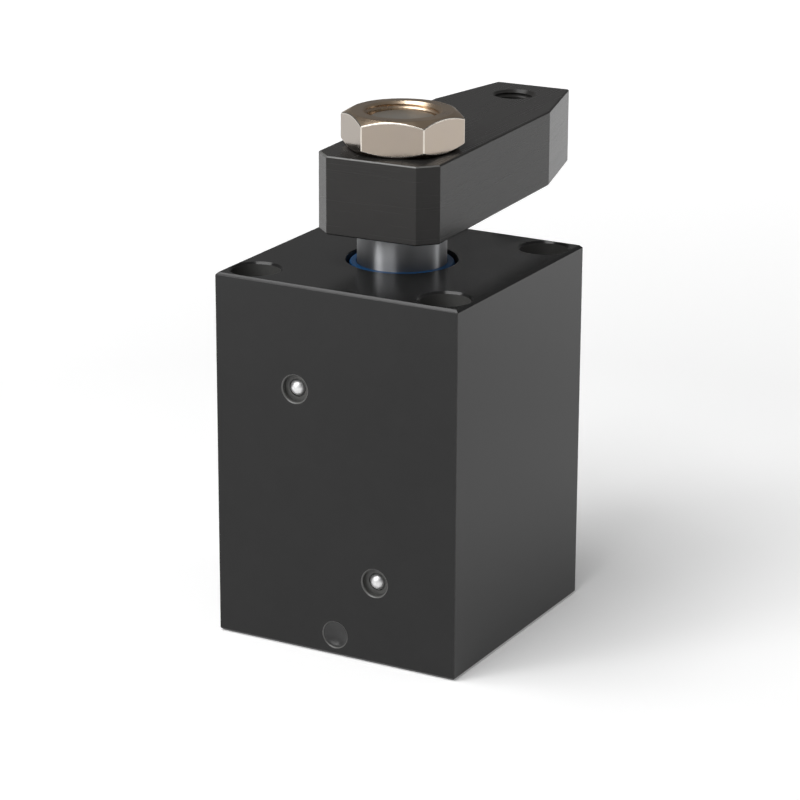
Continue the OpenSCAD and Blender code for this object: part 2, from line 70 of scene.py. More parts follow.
def pickEdges(piece, wanted):
    # edit mode with the edges whose two ends pass the test, in mm
    soloSelect(piece)
    bpy.context.tool_settings.mesh_select_mode = (False, True, False)
    mesh = piece.data
    for group in (mesh.vertices, mesh.edges, mesh.polygons):
        group.foreach_set("select", [False] * len(group))
    for edge in mesh.edges:
        a, b = (mesh.vertices[i].co / mm for i in edge.vertices)
        edge.select = wanted(a, b)
    bpy.ops.object.mode_set(mode='EDIT')


def isLevel(a, b):
    return abs(a.z - b.z) < levelWithin


def pointStart(name, x, y, z):
    # a plane merged to one vertex, ready to be drawn out point by point
    soloSelect()
    bpy.context.tool_settings.mesh_select_mode = (True, False, False)
    bpy.ops.mesh.primitive_plane_add(size=mm)
    piece = bpy.context.object
    piece.name = piece.data.name = name
    bpy.ops.object.mode_set(mode='EDIT')
    bpy.ops.mesh.merge(type='CENTER')
    bpy.ops.transform.translate(value=(x * mm, y * mm, z * mm))
    return piece


def drawOut(x, y, z):
    # pull the selection on by a step in mm
    bpy.ops.mesh.extrude_region_move(
        TRANSFORM_OT_translate={"value": (x * mm, y * mm, z * mm)})


def turned(name, outline, steps):
    # half section (radius, height) in mm, spun about Z like work on a lathe
    piece = pointStart(name, outline[0][0], 0, outline[0][1])
    for (ra, za), (rb, zb) in zip(outline, outline[1:]):
        drawOut(rb - ra, 0, zb - za)
    bpy.ops.mesh.select_all(action='SELECT')
    bpy.ops.mesh.spin(steps=steps, angle=fullTurn, center=(0, 0, 0), axis=(0, 0, 1))
    bpy.ops.mesh.select_all(action='SELECT')
    bpy.ops.mesh.remove_doubles(threshold=weldGap)
    bpy.ops.mesh.normals_make_consistent(inside=False)
    bpy.ops.object.mode_set(mode='OBJECT')
    return piece


def place(piece, at=(0, 0, 0), turn=(0, 0, 0)):
    soloSelect(piece)
    piece.location = Vector(at) * mm
    piece.rotation_euler = [math.radians(a) for a in turn]
    bpy.ops.object.transform_apply(location=True, rotation=True, scale=True)
    return piece


def copyOf(piece, name):
    twin = piece.copy()
    twin.data = piece.data.copy()
    twin.name = twin.data.name = name
    bpy.context.scene.collection.objects.link(twin)
    return twin


def applyModifier(piece, kind, **settings):
    soloSelect(piece)
    modifier = piece.modifiers.new(kind.title(), kind)
    for key, value in settings.items():
        setattr(modifier, key, value)
    bpy.ops.object.modifier_apply(modifier=modifier.name)


def carve(piece, cutter, operation='DIFFERENCE'):
    applyModifier(piece, 'BOOLEAN', object=cutter, operation=operation, solver='EXACT')
    bpy.data.objects.remove(cutter)


def hexBar(name, acrossFlats, low, high, turn=0):
    soloSelect()
    bpy.ops.mesh.primitive_cylinder_add(vertices=6, radius=acrossFlats / math.sqrt(3) * mm,
                                        depth=(high - low) * mm)
    bpy.context.object.name = name
    # the primitive's first corner is on +Y
    return place(bpy.context.object, (0, 0, (low + high) / 2), (0, 0, turn - 90))


def throughCutter(name, radius, bevel, low, high, steps):
    # a hole right through, both of its mouths bevelled at 45 degrees
    wide = radius + bevel
    return turned(name, [(0, low - pastFace), (wide, low - pastFace), (wide, low),
                         (radius, low + bevel), (radius, high - bevel), (wide, high),
                         (wide, high + pastFace), (0, high + pastFace)], steps)


def threadCutter(name, wall, tip, pitch, low, turns):
    # a V with its foot just clear of the wall, wound up as a right-hand screw
    footClear, roundSteps = 0.12, 40
    base = wall + (footClear if tip < wall else -footClear)
    half = pitch * 0.46  # just under half a pitch, so that the turns don't touch
    piece = pointStart(name, base, 0, low - half)
    for ra, za, rb, zb in ((base, -half, tip, 0), (tip, 0, base, half), (base, half, base, -half)):
        drawOut(rb - ra, 0, zb - za)
    bpy.ops.mesh.select_all(action='SELECT')
    bpy.ops.mesh.remove_doubles(threshold=weldGap)
    applyModifier(piece, 'SCREW', angle=fullTurn, screw_offset=pitch * mm, iterations=turns,
                  steps=roundSteps, render_steps=roundSteps, use_merge_vertices=False)
    bpy.ops.object.mode_set(mode='EDIT')
    bpy.ops.mesh.select_all(action='SELECT')
    bpy.ops.mesh.fill_holes(sides=3)
    bpy.ops.mesh.normals_make_consistent(inside=False)
    bpy.ops.object.mode_set(mode='OBJECT')
    return piece


def finishPiece(piece, material, body, node, smooth=sharpAngle):
    soloSelect(piece)
    # hair-thin faces left by the booleans are merged away, so that the mesh stays closed
    bpy.ops.object.mode_set(mode='EDIT')
    bpy.ops.mesh.select_all(action='SELECT')
    bpy.ops.mesh.remove_doubles(threshold=2 * weldGap)
    bpy.ops.mesh.dissolve_degenerate(threshold=weldGap)
    bpy.ops.object.mode_set(mode='OBJECT')
    bpy.ops.object.shade_smooth_by_angle(angle=math.radians(smooth))
    applyModifier(piece, 'WEIGHTED_NORMAL', keep_sharp=True, weight=60)
    piece.data.materials.clear()
    piece.data.materials.append(material)
    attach(piece, body)
    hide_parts(node)


def lineFaces(piece, material, wanted):
    # another finish on the faces whose middle, in mm, and normal pass the test
    piece.data.materials.append(material)
    for face in piece.data.polygons:
        if wanted(face.center / mm, face.normal):
            face.material_index = len(piece.data.materials) - 1


def arc(cx, cz, radius, start, end, count):
    # points of an outline along a round stretch, from one angle to another in degrees
    angles = [math.radians(start + (end - start) * i / count) for i in range(count + 1)]
    return [(cx + radius * math.cos(a), cz + radius * math.sin(a)) for a in angles]


# colours and shader nodes
def linear(code):
    parts = [int(code[i:i + 2], 16) / 255 for i in (1, 3, 5)]
    return tuple(c / 12.92 if c <= 0.04045 else ((c + 0.055) / 1.055) ** 2.4 for c in parts) + (1,)


def addNode(tree, kind, inputs=None, **settings):
    node = tree.nodes.new(kind)
    for key, value in settings.items():
        setattr(node, key, value)
    for key, value in (inputs or {}).items():
        if isinstance(value, bpy.types.NodeSocket):
            tree.links.new(value, node.inputs[key])
        else:
            node.inputs[key].default_value = value
    return node


def newMaterial(name):
    material = bpy.data.materials.new(name)
    material.use_nodes = True
    tree = material.node_tree
    tree.nodes.clear()
    return material, tree


def closeMaterial(tree, shader):
    addNode(tree, 'ShaderNodeOutputMaterial', {"Surface": shader.outputs[0]})


def groundBlackOxide(name, code, rough, grain, sheen):
    # satin black with faint grinding lines, and paler edges that are partly rubbed wear and partly a
    # painted highlight
    # real grinding lines are too fine to show, so the grain is drawn a few times coarser
    lineMm, cloudMm, edgeBandMm, grooveMm = 25, 9, 0.35, 0.02
    # a paler edge colour: partly rubbed wear, partly a painted highlight
    edgeWearAndHighlightTone = linear("#4c4b49")
    material, tree = newMaterial(name)
    coords = addNode(tree, 'ShaderNodeTexCoord')
    upDown = addNode(tree, 'ShaderNodeSeparateXYZ', {0: coords.outputs["Normal"]})
    isFlat = addNode(tree, 'ShaderNodeMath', {0: upDown.outputs["Z"]}, operation='ABSOLUTE')
    long, fine = 1 / (lineMm * mm), 1 / (grain * mm)
    sideLines = addNode(tree, 'ShaderNodeMapping', {"Vector": coords.outputs["Object"],
                                                    "Scale": (long, long, fine)})
    topLines = addNode(tree, 'ShaderNodeMapping', {"Vector": coords.outputs["Object"],
                                                   "Scale": (fine, long, long)})
    sideNoise = addNode(tree, 'ShaderNodeTexNoise', {"Vector": sideLines.outputs[0], "Scale": 1.0,
                                                     "Detail": 3.0, "Roughness": 0.6})
    topNoise = addNode(tree, 'ShaderNodeTexNoise', {"Vector": topLines.outputs[0], "Scale": 1.0,
                                                    "Detail": 3.0, "Roughness": 0.6})
    lines = addNode(tree, 'ShaderNodeMix', {0: isFlat.outputs[0], 2: sideNoise.outputs["Fac"],
                                            3: topNoise.outputs["Fac"]})
    mottle = addNode(tree, 'ShaderNodeTexNoise', {"Vector": coords.outputs["Object"],
                                                  "Scale": 1 / (cloudMm * mm), "Detail": 4.0})
    # paler edges, partly rubbed wear and partly painted highlight: where a rounded normal leaves the
    # true one, broken up by noise
    rounded = addNode(tree, 'ShaderNodeBevel', {"Radius": edgeBandMm * mm}, samples=4)
    trueNormal = addNode(tree, 'ShaderNodeNewGeometry')
    same = addNode(tree, 'ShaderNodeVectorMath', {0: rounded.outputs[0],
                                                  1: trueNormal.outputs["Normal"]},
                   operation='DOT_PRODUCT')
    nearEdgeMask = addNode(tree, 'ShaderNodeMapRange', {"Value": same.outputs["Value"], 1: 0.99, 2: 0.8,
                                                3: 0.0, 4: 1.0})
    edgeWearAndHighlight = addNode(tree, 'ShaderNodeMath', {0: nearEdgeMask.outputs[0], 1: mottle.outputs["Fac"]},
                   operation='MULTIPLY')
    tone = addNode(tree, 'ShaderNodeMix', {0: mottle.outputs["Fac"], 6: linear(code[0]),
                                           7: linear(code[1])}, data_type='RGBA')
    colour = addNode(tree, 'ShaderNodeMix', {0: edgeWearAndHighlight.outputs[0], 6: tone.outputs[2],
                                             7: edgeWearAndHighlightTone}, data_type='RGBA')
    gloss = addNode(tree, 'ShaderNodeMapRange', {"Value": lines.outputs[0], 1: noiseLow, 2: noiseHigh,
                                                 3: rough - 0.015, 4: rough + 0.02})
    bump = addNode(tree, 'ShaderNodeBump', {"Height": lines.outputs[0], "Strength": 0.03,
                                            "Distance": grooveMm * mm})
    shader = addNode(tree, 'ShaderNodeBsdfPrincipled', {
        "Base Color": colour.outputs[2], "Roughness": gloss.outputs[0],
        "Specular IOR Level": sheen, "Normal": bump.outputs[0]})
    closeMaterial(tree, shader)
    return material


def turnedMetal(name, code, rough, lineMm, depth=0.15):
    # lathe-turned metal: fine rings round Z that spread the highlight sideways
    stainMm, grooveMm = 6, 0.02
    waveRate = 20 / fullTurn  # rings that a wave node draws to a unit at scale 1
    material, tree = newMaterial(name)
    coords = addNode(tree, 'ShaderNodeTexCoord')
    rings = addNode(tree, 'ShaderNodeTexWave', {
        "Vector": coords.outputs["Object"], "Scale": 1 / (waveRate * lineMm * mm),
        "Distortion": 0.6, "Detail": 2.0}, wave_type='RINGS', rings_direction='Z')
    stain = addNode(tree, 'ShaderNodeTexNoise', {"Vector": coords.outputs["Object"],
                                                 "Scale": 1 / (stainMm * mm), "Detail": 3.0})
    tone = addNode(tree, 'ShaderNodeMix', {0: stain.outputs["Fac"], 6: linear(code[0]),
                                           7: linear(code[1])}, data_type='RGBA')
    gloss = addNode(tree, 'ShaderNodeMapRange', {"Value": rings.outputs["Fac"], 3: rough - 0.04,
                                                 4: rough + 0.06})
    bump = addNode(tree, 'ShaderNodeBump', {"Height": rings.outputs["Fac"], "Strength": depth,
                                            "Distance": grooveMm * mm})
    shader = addNode(tree, 'ShaderNodeBsdfPrincipled', {
        "Base Color": tone.outputs[2], "Metallic": 1.0, "Roughness": gloss.outputs[0],
        "Normal": bump.outputs[0]})
    closeMaterial(tree, shader)
    return material


def hardChrome(name, code, rough):
    # ground round the axis and then chromed: upright bands of light, faint rings
    aroundMm, ringMm, ringDeep = 20, 0.08, 0.01
    material, tree = newMaterial(name)
    coords = addNode(tree, 'ShaderNodeTexCoord')
    stretch = addNode(tree, 'ShaderNodeMapping', {
        "Vector": coords.outputs["Object"],
        "Scale": (1 / (aroundMm * mm), 1 / (aroundMm * mm), 1 / (ringMm * mm))})
    rings = addNode(tree, 'ShaderNodeTexNoise', {"Vector": stretch.outputs[0], "Scale": 1.0,
                                                 "Detail": 2.0})
    gloss = addNode(tree, 'ShaderNodeMapRange', {"Value": rings.outputs["Fac"], 1: noiseLow,
                                                 2: noiseHigh, 3: rough - 0.01, 4: rough + 0.015})
    bump = addNode(tree, 'ShaderNodeBump', {"Height": rings.outputs["Fac"], "Strength": 0.01,
                                            "Distance": ringDeep * mm})
    around = addNode(tree, 'ShaderNodeTangent', direction_type='RADIAL', axis='Z')
    shader = addNode(tree, 'ShaderNodeBsdfPrincipled', {
        "Base Color": linear(code), "Metallic": 1.0, "Roughness": gloss.outputs[0],
        "Anisotropic": 1.0, "Anisotropic Rotation": 0.25, "Tangent": around.outputs[0],
        "Normal": bump.outputs[0]})
    closeMaterial(tree, shader)
    return material


def platedMetal(name, code, rough, peelMm):
    # plated over a machined face: bright, with a slight peel and dull patches
    dullMm, peelDeep = 5, 0.03
    material, tree = newMaterial(name)
    coords = addNode(tree, 'ShaderNodeTexCoord')
    peel = addNode(tree, 'ShaderNodeTexNoise', {"Vector": coords.outputs["Object"],
                                                "Scale": 1 / (peelMm * mm), "Detail": 2.0})
    dull = addNode(tree, 'ShaderNodeTexNoise', {"Vector": coords.outputs["Object"],
                                                "Scale": 1 / (dullMm * mm), "Detail": 4.0})
    tone = addNode(tree, 'ShaderNodeMix', {0: dull.outputs["Fac"], 6: linear(code[0]),
                                           7: linear(code[1])}, data_type='RGBA')
    gloss = addNode(tree, 'ShaderNodeMapRange', {"Value": dull.outputs["Fac"], 1: noiseLow,
                                                 2: noiseHigh, 3: rough - 0.05, 4: rough + 0.07})
    bump = addNode(tree, 'ShaderNodeBump', {"Height": peel.outputs["Fac"], "Strength": 0.1,
                                            "Distance": peelDeep * mm})
    shader = addNode(tree, 'ShaderNodeBsdfPrincipled', {
        "Base Color": tone.outputs[2], "Metallic": 1.0, "Roughness": gloss.outputs[0],
        "Normal": bump.outputs[0]})
    closeMaterial(tree, shader)
    return material


def drilledBlackOxide(name, code, rough):
    # walls left by the drill: dull, a shade paler than the ground faces, with rough patches; that
    # paler shade is painted light in the holes and a painted highlight on the rims
    scratchMm, scratchDeep = 0.7, 0.03
    material, tree = newMaterial(name)
    coords = addNode(tree, 'ShaderNodeTexCoord')
    scratch = addNode(tree, 'ShaderNodeTexNoise', {"Vector": coords.outputs["Object"],
                                                   "Scale": 1 / (scratchMm * mm), "Detail": 4.0})
    tone = addNode(tree, 'ShaderNodeMix', {0: scratch.outputs["Fac"], 6: linear(code[0]),
                                           7: linear(code[1])}, data_type='RGBA')
    bump = addNode(tree, 'ShaderNodeBump', {"Height": scratch.outputs["Fac"], "Strength": 0.2,
                                            "Distance": scratchDeep * mm})
    shader = addNode(tree, 'ShaderNodeBsdfPrincipled', {
        "Base Color": tone.outputs[2], "Roughness": rough, "Normal": bump.outputs[0]})
    closeMaterial(tree, shader)
    return material


def mouldedSeal(name, code, rough, grainMm):
    # moulded elastomer: soft sheen with a fine mould grain
    grainDeep = 0.03
    material, tree = newMaterial(name)
    coords = addNode(tree, 'ShaderNodeTexCoord')
    grain = addNode(tree, 'ShaderNodeTexNoise', {"Vector": coords.outputs["Object"],
                                                 "Scale": 1 / (grainMm * mm), "Detail": 3.0})
    tone = addNode(tree, 'ShaderNodeMix', {0: grain.outputs["Fac"], 6: linear(code[0]),
                                           7: linear(code[1])}, data_type='RGBA')
    bump = addNode(tree, 'ShaderNodeBump', {"Height": grain.outputs["Fac"], "Strength": 0.15,
                                            "Distance": grainDeep * mm})
    shader = addNode(tree, 'ShaderNodeBsdfPrincipled', {
        "Base Color": tone.outputs[2], "Roughness": rough, "Normal": bump.outputs[0]})
    closeMaterial(tree, shader)
    return material


# each finish: its two shades, roughness, and the size of its pattern in mm
blockSteel = groundBlackOxide("black oxide on ground block steel", ("#191919", "#1f1f1f"), 0.17,
                              grain=0.18, sheen=0.29)
armSteel = groundBlackOxide("black oxide on milled arm steel", ("#282726", "#2e2d2c"), 0.26,
                            grain=0.25, sheen=0.19)
# a paler shade than the block: painted light inside the holes; the dull roughness is the drilled
# finish
holeLitSteel = drilledBlackOxide("black oxide in drilled holes with painted light", ("#3e3e3d", "#4a4a48"), 0.5)
rodChrome = hardChrome("hard chrome on ground rod", "#a3a4a6", 0.42)
pinSteel = drilledBlackOxide("black oxide rubbed on pressed pin", ("#222222", "#2a2a2a"), 0.36)
# a paler rim colour: a painted highlight on bevels
rimHighlightSteel = drilledBlackOxide("black oxide with painted highlight on rims", ("#565655", "#646462"), 0.36)
nutNickel = platedMetal("nickel plate on machined nut", ("#897f73", "#948a81"), 0.2, 0.8)
# a paler copy of the nut's nickel: painted light on its flat faces and hole; the rougher gloss is the
# turned finish
faceLitNickel = platedMetal("nickel plate on turned nut faces, painted lighter", ("#c0aa92", "#c9b59e"), 0.3, 0.8)
# paler nickel on the nut's edges: a painted highlight
edgeHighlightNickel = platedMetal("nickel plate with painted highlight on edges", ("#c2bab0", "#cec8bf"), 0.25, 0.8)
ballSteel = platedMetal("lapped bearing ball steel", ("#dcdcdc", "#e4e4e4"), 0.44, 0.5)
cutSteel = turnedMetal("turned bright steel", ("#bdb8ae", "#cac5bc"), 0.4, 0.2, 0.05)
wireSteel = platedMetal("drawn spring wire", ("#8a8a88", "#9a9a97"), 0.35, 0.3)
sealBronze = turnedMetal("turned bearing bronze", ("#8f6534", "#a1743d"), 0.32, 0.25)
bluePu = mouldedSeal("moulded blue polyurethane", ("#10487a", "#1a66a2"), 0.4, 0.6)
palePu = mouldedSeal("moulded pale polyurethane", ("#cfcabc", "#d9d5c8"), 0.45, 0.6)
blackRubber = mouldedSeal("moulded nitrile rubber", ("#121213", "#1b1b1c"), 0.6, 0.4)
print("materials ready")

# measures shared with the frame, in mm
blockLow, blockHigh = spanMm("housing_block")
blockHalf, blockTop = blockHigh.x, blockHigh.z
armLow, armHigh = spanMm("clamp_arm")
nutLow, nutHigh = spanMm("arm_nut")
rodLow, rodHigh = spanMm("piston_rod")
rodRadius = rodHigh.x
bushLow, bushHigh = spanMm("rod_bush")
sealLow, sealHigh = spanMm("rod_seal")
wiperLow, wiperHigh = spanMm("rod_wiper")
pistonLow, pistonHigh = spanMm("piston")

# block: square bar with a bored middle, four screw holes and the oil ways
block = {"chamfer": 0.6, "edgeRound": 0.12, "capSeat": 21.5, "capMouth": 0.3, "bore": 20.0,
         "bushSeat": 12.0, "land": 10.3, "sealSeat": 13.5, "wiperSeat": 14.3, "mouth": 12.5,
         "mouthBevel": 0.15, "capTop": pistonLow.z - 1, "wiperTop": blockTop - 2.2,
         "rimFrom": 0.02, "rimTo": 0.4}
soloSelect()
bpy.ops.mesh.primitive_cube_add(size=mm, location=(blockLow + blockHigh) / 2 * mm)
blockPiece = bpy.context.object
blockPiece.name = blockPiece.data.name = "block"
bpy.ops.transform.resize(value=blockHigh - blockLow)
bpy.ops.object.transform_apply(location=True, rotation=True, scale=True)
pickEdges(blockPiece, isLevel)
bpy.ops.mesh.bevel(offset=block["chamfer"] * mm, offset_type='OFFSET', segments=1)
bpy.ops.object.mode_set(mode='OBJECT')
applyModifier(blockPiece, 'BEVEL', width=block["edgeRound"] * mm, segments=2, limit_method='ANGLE',
              angle_limit=math.radians(sharpAngle))
capWide = block["capSeat"] + block["capMouth"]
topWide = block["mouth"] + block["mouthBevel"]
boreOutline = [(0, -pastFace), (capWide, -pastFace), (capWide, 0),
               (block["capSeat"], block["capMouth"]), (block["capSeat"], block["capTop"]),
               (block["bore"], block["capTop"]), (block["bore"], bushLow.z),
               (block["bushSeat"], bushLow.z), (block["bushSeat"], bushHigh.z),
               (block["land"], bushHigh.z), (block["land"], sealLow.z - seatGap),
               (block["sealSeat"], sealLow.z - seatGap), (block["sealSeat"], sealHigh.z + seatGap),
               (block["land"], sealHigh.z + seatGap), (block["land"], wiperLow.z - seatGap),
               (block["wiperSeat"], wiperLow.z - seatGap), (block["wiperSeat"], block["wiperTop"]),
               (block["mouth"], block["wiperTop"]), (block["mouth"], blockTop - block["mouthBevel"]),
               (topWide, blockTop), (topWide, blockTop + pastFace), (0, blockTop + pastFace)]
carve(blockPiece, turned("boreCutter", boreOutline, 128))

# screw holes, counterbored for the heads
screwHole = {"inset": 6.5, "hole": 3.3, "head": 5.5, "deep": 7.0, "mouth": 0.5, "baseMouth": 0.25}
baseWide = screwHole["hole"] + screwHole["baseMouth"]
headWide = screwHole["head"] + screwHole["mouth"]
headSeat = blockTop - screwHole["deep"]
holeOutline = [(0, -pastFace), (baseWide, -pastFace), (baseWide, 0),
               (screwHole["hole"], screwHole["baseMouth"]), (screwHole["hole"], headSeat),
               (screwHole["head"], headSeat), (screwHole["head"], blockTop - screwHole["mouth"]),
               (headWide, blockTop), (headWide, blockTop + pastFace), (0, blockTop + pastFace)]
holeCutter = turned("screwHoleCutter", holeOutline, 64)
away = blockHalf - screwHole["inset"]
for x in (-1, 1):
    for y in (-1, 1):
        carve(blockPiece, place(copyOf(holeCutter, "screwHoleCopy"), (x * away, y * away, 0)))
bpy.data.objects.remove(holeCutter)

# oil ways: a port up from the base meets a drilling in from the front face
oilWay = {"radius": 2.0, "portX": 10.0, "portY": -24.5408, "seat": 4.0, "seatDeep": 1.6,
          "seatMouth": 0.15, "ballSeat": 3.1, "ballDeep": 1.25, "mouth": 0.25, "drillMouth": 0.1,
          "drillEnd": 14.0}
ballLow, ballHigh = spanMm("upper_plug_ball")
upperZ = (ballLow.z + ballHigh.z) / 2
ballLow, ballHigh = spanMm("lower_plug_ball")
lowerZ = (ballLow.z + ballHigh.z) / 2
portWide = oilWay["seat"] + oilWay["seatMouth"]
ballWide = oilWay["ballSeat"] + oilWay["mouth"]
for side, height in ((-1, upperZ), (1, lowerZ)):
    portOutline = [(0, -pastFace), (portWide, -pastFace), (portWide, 0),
                   (oilWay["seat"], oilWay["seatMouth"]), (oilWay["seat"], oilWay["seatDeep"]),
                   (oilWay["radius"], oilWay["seatDeep"]), (oilWay["radius"], height), (0, height)]
    carve(blockPiece, place(turned("portCutter", portOutline, 48),
                            (side * oilWay["portX"], oilWay["portY"], 0)))
    seatOutline = [(0, -pastFace), (ballWide, -pastFace), (ballWide, 0),
                   (oilWay["ballSeat"], oilWay["mouth"]), (oilWay["ballSeat"], oilWay["ballDeep"]),
                   (oilWay["radius"] + oilWay["drillMouth"], oilWay["ballDeep"]),
                   (oilWay["radius"], oilWay["ballDeep"] + oilWay["drillMouth"]),
                   (oilWay["radius"], oilWay["drillEnd"]), (0, oilWay["drillEnd"])]
    carve(blockPiece, place(turned("ballSeatCutter", seatOutline, 64),
                            (side * oilWay["portX"], -blockHalf, height), (-90, 0, 0)))

# hole for the pin that locks the end cap
lockPin = {"radius": 2.97, "hole": 3.0, "mouth": 0.2, "edge": 0.3, "land": 0.25, "dish": 0.75}
lockLow, lockHigh = spanMm("cap_lock_pin")
lockZ = (lockLow.z + lockHigh.z) / 2
lockWide = lockPin["hole"] + lockPin["mouth"]
lockDeep = blockHalf - block["capSeat"] + pastFace  # right through into the cap's seat
lockOutline = [(0, -pastFace), (lockWide, -pastFace), (lockWide, 0),
               (lockPin["hole"], lockPin["mouth"]), (lockPin["hole"], lockDeep), (0, lockDeep)]
carve(blockPiece, place(turned("lockHoleCutter", lockOutline, 64),
                        (0, -blockHalf, lockZ), (-90, 0, 0)))
finishPiece(blockPiece, blockSteel, "housing", "housing_block")
# inner walls: whatever lies inside the outer faces and their bevels, given a paler colour as painted
# light in their shade
skin = block["chamfer"] + pickSlack
lineFaces(blockPiece, holeLitSteel, lambda at, way: max(abs(at.x), abs(at.y)) < blockHalf - skin
          and skin < at.z < blockTop - skin)
# rims: the bevels round the front holes, in a paler colour that is a painted highlight
lineFaces(blockPiece, rimHighlightSteel, lambda at, way: abs(at.x) < blockHalf - skin
          and skin < at.z < blockTop - skin
          and block["rimFrom"] < at.y + blockHalf < block["rimTo"])
print("block done")

# the pin itself, with a dished end just below the front face
pinLong = lockHigh.y - lockLow.y
dishHalf = lockPin["hole"] - lockPin["land"]
dishRound = (dishHalf ** 2 + lockPin["dish"] ** 2) / (2 * lockPin["dish"])
dishSpan = math.degrees(math.asin(dishHalf / dishRound))
pinOutline = arc(0, lockPin["dish"] - dishRound, dishRound, 90, 90 - dishSpan, 10)
pinOutline += [(lockPin["radius"], 0), (lockPin["radius"], pinLong - lockPin["edge"]),
               (lockPin["radius"] - lockPin["edge"], pinLong), (0, pinLong)]
pinPiece = place(turned("lockPin", pinOutline, 64), (0, lockLow.y, lockZ), (-90, 0, 0))
finishPiece(pinPiece, pinSteel, "housing", "cap_lock_pin")

# steel balls that plug the cross drillings, one modelled and copied
plugBall = {"radius": (ballHigh.z - ballLow.z) / 2, "y": (ballLow.y + ballHigh.y) / 2}
ballPiece = turned("upperPlugBall", arc(0, 0, plugBall["radius"], -90, 90, 32), 64)
lowerBall = copyOf(ballPiece, "lowerPlugBall")
place(ballPiece, (-oilWay["portX"], plugBall["y"], upperZ))
place(lowerBall, (oilWay["portX"], plugBall["y"], lowerZ))
finishPiece(ballPiece, ballSteel, "housing", "upper_plug_ball")
finishPiece(lowerBall, ballSteel, "housing", "lower_plug_ball")

# O-rings in the two ports of the base
portRing = {"wire": 0.75, "middle": 3.2, "height": 0.8}
ringPiece = turned("clampPortRing", arc(portRing["middle"], portRing["height"], portRing["wire"],
                                        0, 360, 24), 64)
otherRing = copyOf(ringPiece, "unclampPortRing")
place(ringPiece, (-oilWay["portX"], oilWay["portY"], 0))
place(otherRing, (oilWay["portX"], oilWay["portY"], 0))
finishPiece(ringPiece, blackRubber, "housing", "clamp_port_o_ring")
finishPiece(otherRing, blackRubber, "housing", "unclamp_port_o_ring")

# wiper: foot in its groove and a rounded lip up to the top face
wiper = {"inner": rodRadius + 0.05, "outer": wiperHigh.x, "lip": 1.6, "round": 0.45,
         "innerRound": 0.3, "undercut": 0.35, "flare": 0.35}
footTop = block["wiperTop"] - seatGap
lipTop = wiperHigh.z
lipMid = wiper["inner"] + wiper["lip"] - wiper["round"]
wiperOutline = [(wiper["inner"] + wiper["undercut"], wiperLow.z), (wiper["outer"], wiperLow.z),
                (wiper["outer"], footTop), (wiper["inner"] + wiper["lip"] + wiper["flare"], footTop)]
wiperOutline += arc(lipMid, lipTop - wiper["round"], wiper["round"], 0, 90, 6)
wiperOutline += arc(wiper["inner"] + wiper["innerRound"], lipTop - wiper["innerRound"],
                    wiper["innerRound"], 90, 180, 5)
wiperOutline += [(wiper["inner"], footTop), wiperOutline[0]]
wiperPiece = turned("wiper", wiperOutline, 128)
finishPiece(wiperPiece, bluePu, "housing", "rod_wiper")
print("pin, balls, rings and wiper done")

# rod: hollow tail, ground shaft, spigot for the arm and a threaded end
spindleTop = spanMm("cam_spindle")[1].z
ringLow, ringHigh = spanMm("piston_retaining_ring")
guideLow, guideHigh = spanMm("guide_balls")
rod = {"tail": 9.0, "bore": 6.3, "boreTop": spindleTop + 0.6, "ringBite": 0.8,
       "ringLow": ringLow.z - seatGap, "ringHigh": ringHigh.z + seatGap, "edge": 0.3, "spigot": 8.5,
       "thread": 8.0, "threadDeep": 0.7, "threadTurns": 5, "pitch": 1.5, "bevel": 1.0,
       "ballZ": (guideLow.z + guideHigh.z) / 2, "ballHole": 2.55, "ballReach": 20}
rodOutline = [(rod["bore"], rodLow.z), (rod["tail"], rodLow.z), (rod["tail"], rod["ringLow"]),
              (rod["tail"] - rod["ringBite"], rod["ringLow"]),
              (rod["tail"] - rod["ringBite"], rod["ringHigh"]), (rod["tail"], rod["ringHigh"]),
              (rod["tail"], pistonHigh.z), (rodRadius - rod["edge"], pistonHigh.z),
              (rodRadius, pistonHigh.z + rod["edge"]), (rodRadius, armLow.z - rod["edge"]),
              (rodRadius - rod["edge"], armLow.z), (rod["spigot"], armLow.z),
              (rod["spigot"], armHigh.z - rod["bevel"]), (rod["thread"], armHigh.z - rod["bevel"]),
              (rod["thread"], rodHigh.z - rod["bevel"]), (rod["thread"] - rod["bevel"], rodHigh.z),
              (0, rodHigh.z), (0, rod["boreTop"]), (rod["bore"], rod["boreTop"]),
              (rod["bore"], rodLow.z)]
rodPiece = turned("rod", rodOutline, 128)
carve(rodPiece, threadCutter("rodThread", rod["thread"], rod["thread"] - rod["threadDeep"],
                             rod["pitch"], armHigh.z, rod["threadTurns"]))
# cross hole for the two guide balls
crossOutline = [(0, -rod["ballReach"]), (rod["ballHole"], -rod["ballReach"]),
                (rod["ballHole"], rod["ballReach"]), (0, rod["ballReach"])]
carve(rodPiece, place(turned("ballHoleCutter", crossOutline, 48), (0, 0, rod["ballZ"]), (0, 90, 0)))
# half-round seat for the key pin, which the arm shares
keyLow, keyHigh = spanMm("arm_key_pin")
keyPin = {"radius": 1.53, "low": keyLow.z - seatGap, "high": keyHigh.z + seatGap}
keyOutline = [(0, keyPin["low"]), (keyPin["radius"], keyPin["low"]),
              (keyPin["radius"], keyPin["high"]), (0, keyPin["high"])]
armTurn = 2.5  # degrees that the arm stands off square to the block
keyTurn = math.radians(armTurn)
keyAt = (rod["spigot"] * math.sin(keyTurn), -rod["spigot"] * math.cos(keyTurn), 0)
carve(rodPiece, place(turned("rodKeyCutter", keyOutline, 32), keyAt))
finishPiece(rodPiece, rodChrome, "rod", "piston_rod")
# the spigot and the thread stay bare
lineFaces(rodPiece, cutSteel, lambda at, way: at.z > armLow.z + pickSlack)
print("rod done")

